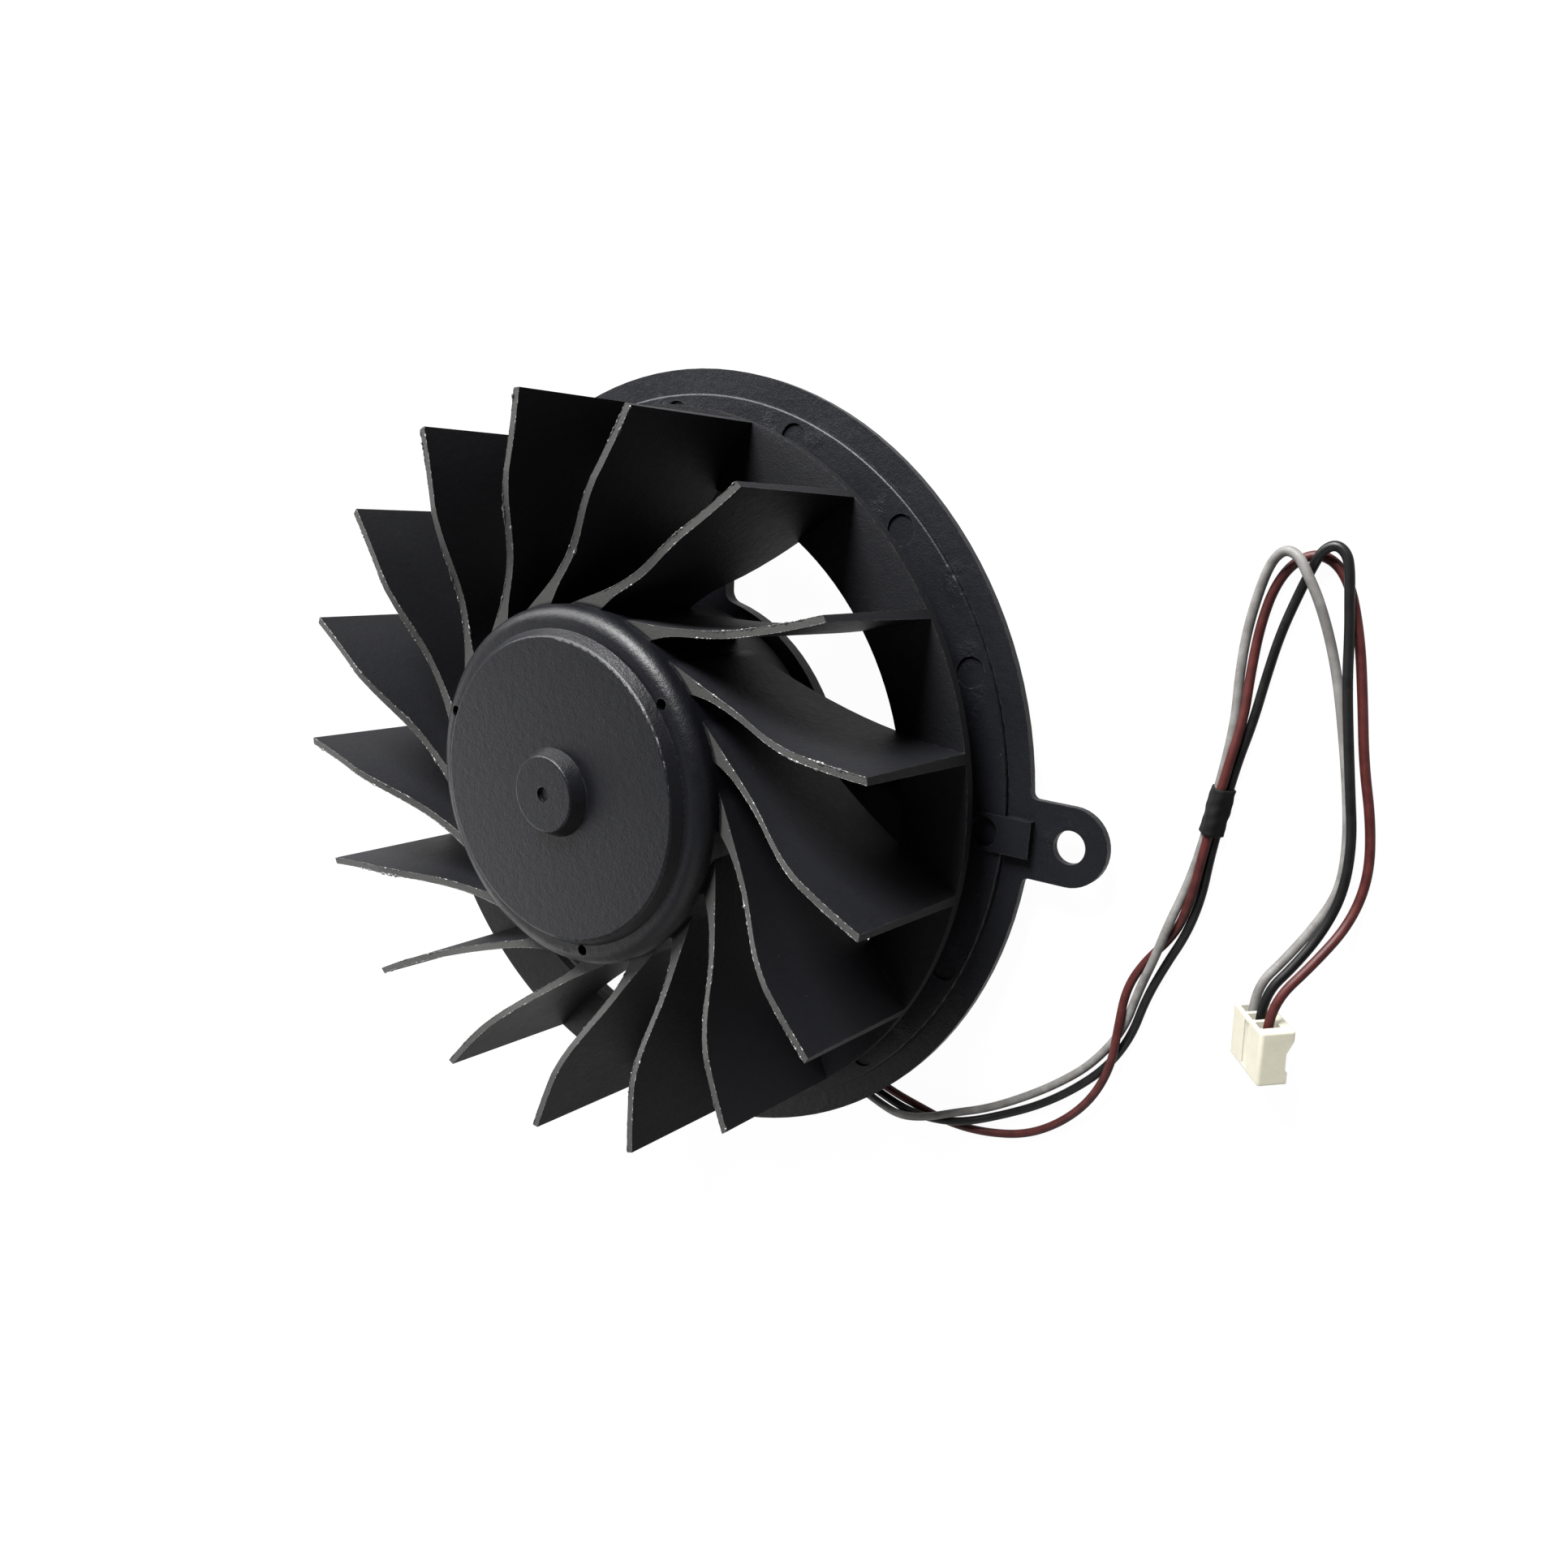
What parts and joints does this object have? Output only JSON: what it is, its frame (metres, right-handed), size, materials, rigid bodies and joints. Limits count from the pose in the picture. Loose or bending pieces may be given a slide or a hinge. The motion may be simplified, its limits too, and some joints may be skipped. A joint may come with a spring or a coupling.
{
  "type": "dc blower fan",
  "caption": "Radial blower fan with a brushless motor inside the impeller hub, an open spoked frame with screw ears, and coloured leads that end in a plug.",
  "frame": {"origin": "on the motor axis, in the flat face of the motor dish that the fan stands on", "axes": "+Z along the motor axis towards the hub's cap; +X through the hole of the ear beside the leads"},
  "size_m": [0.1407, 0.095, 0.0293],
  "materials": {
    "base_frame": "black moulded plastic, fine satin",
    "impeller": "black moulded plastic, satin with faint flow marks",
    "bearing_tube": "turned",
    "hub_bush": "turned and knurled",
    "lower_outer_race": "ground",
    "upper_outer_race": "ground",
    "lower_inner_race": "ground",
    "upper_inner_race": "ground",
    "lower_bearing_balls": "polished",
    "upper_bearing_balls": "polished",
    "lower_bearing_cage": "pressed",
    "upper_bearing_cage": "pressed",
    "stator_core": "stacked laminations",
    "lower_insulator": "natural nylon",
    "upper_insulator": "natural nylon",
    "stator_coils": "enamelled copper wire",
    "winding_pins": "tinned",
    "circuit_board": "solder-masked glass laminate",
    "hall_sensors": "moulded package",
    "driver_chip": "moulded package",
    "board_capacitors": "fired ceramic",
    "rotor_yoke": "drawn and zinc plated",
    "rotor_magnet": "plastic-bonded ferrite",
    "shaft": "ground",
    "retaining_clip": "blackened spring steel",
    "thrust_washer": "nylon",
    "preload_spring": "spring steel wire",
    "lead_joints": "solder",
    "red_brown_tail": "insulation, red-brown",
    "black_tail": "insulation, black",
    "grey_tail": "insulation, warm grey",
    "red_brown_lead": "insulation, red-brown",
    "black_lead": "insulation, black",
    "grey_lead": "insulation, warm grey",
    "lead_sleeve": "shrunk tubing, black",
    "connector_housing": "ivory nylon",
    "connector_contacts": "tin plated"
  },
  "bodies": {
    "frame": {"base_frame": "base_frame", "bearing_tube": "bearing_tube", "lower_outer_race": "lower_outer_race", "upper_outer_race": "upper_outer_race", "stator_core": "stator_core", "lower_insulator": "lower_insulator", "upper_insulator": "upper_insulator", "stator_coils": "stator_coils", "winding_pins": "winding_pins", "circuit_board": "circuit_board", "hall_sensors": "hall_sensors", "driver_chip": "driver_chip", "board_capacitors": "board_capacitors", "lead_joints": "lead_joints", "red_brown_tail": "red_brown_tail", "black_tail": "black_tail", "grey_tail": "grey_tail", "red_brown_lead": "red_brown_lead", "black_lead": "black_lead", "grey_lead": "grey_lead", "lead_sleeve": "lead_sleeve", "connector_housing": "connector_housing", "connector_contacts": "connector_contacts"},
    "rotor": {"impeller": "impeller", "hub_bush": "hub_bush", "rotor_yoke": "rotor_yoke", "rotor_magnet": "rotor_magnet", "shaft": "shaft", "lower_inner_race": "lower_inner_race", "upper_inner_race": "upper_inner_race", "preload_spring": "preload_spring", "retaining_clip": "retaining_clip", "thrust_washer": "thrust_washer"},
    "bearing_balls": {"lower_bearing_balls": "lower_bearing_balls", "upper_bearing_balls": "upper_bearing_balls", "lower_bearing_cage": "lower_bearing_cage", "upper_bearing_cage": "upper_bearing_cage"}
  },
  "joints": [
    {"name": "rotor_spin", "type": "hinge", "parent": "frame", "child": "rotor", "pos_m": [0, 0, 0.012], "axis": [0, 0, 1], "continuous": true},
    {"name": "ball_roll", "type": "hinge", "parent": "frame", "child": "bearing_balls", "pos_m": [0, 0, 0.012], "axis": [0, 0, 1], "continuous": true}
  ],
  "couplings": [
    {"joint": "ball_roll", "follows": "rotor_spin", "ratio": 0.3909}
  ]
}
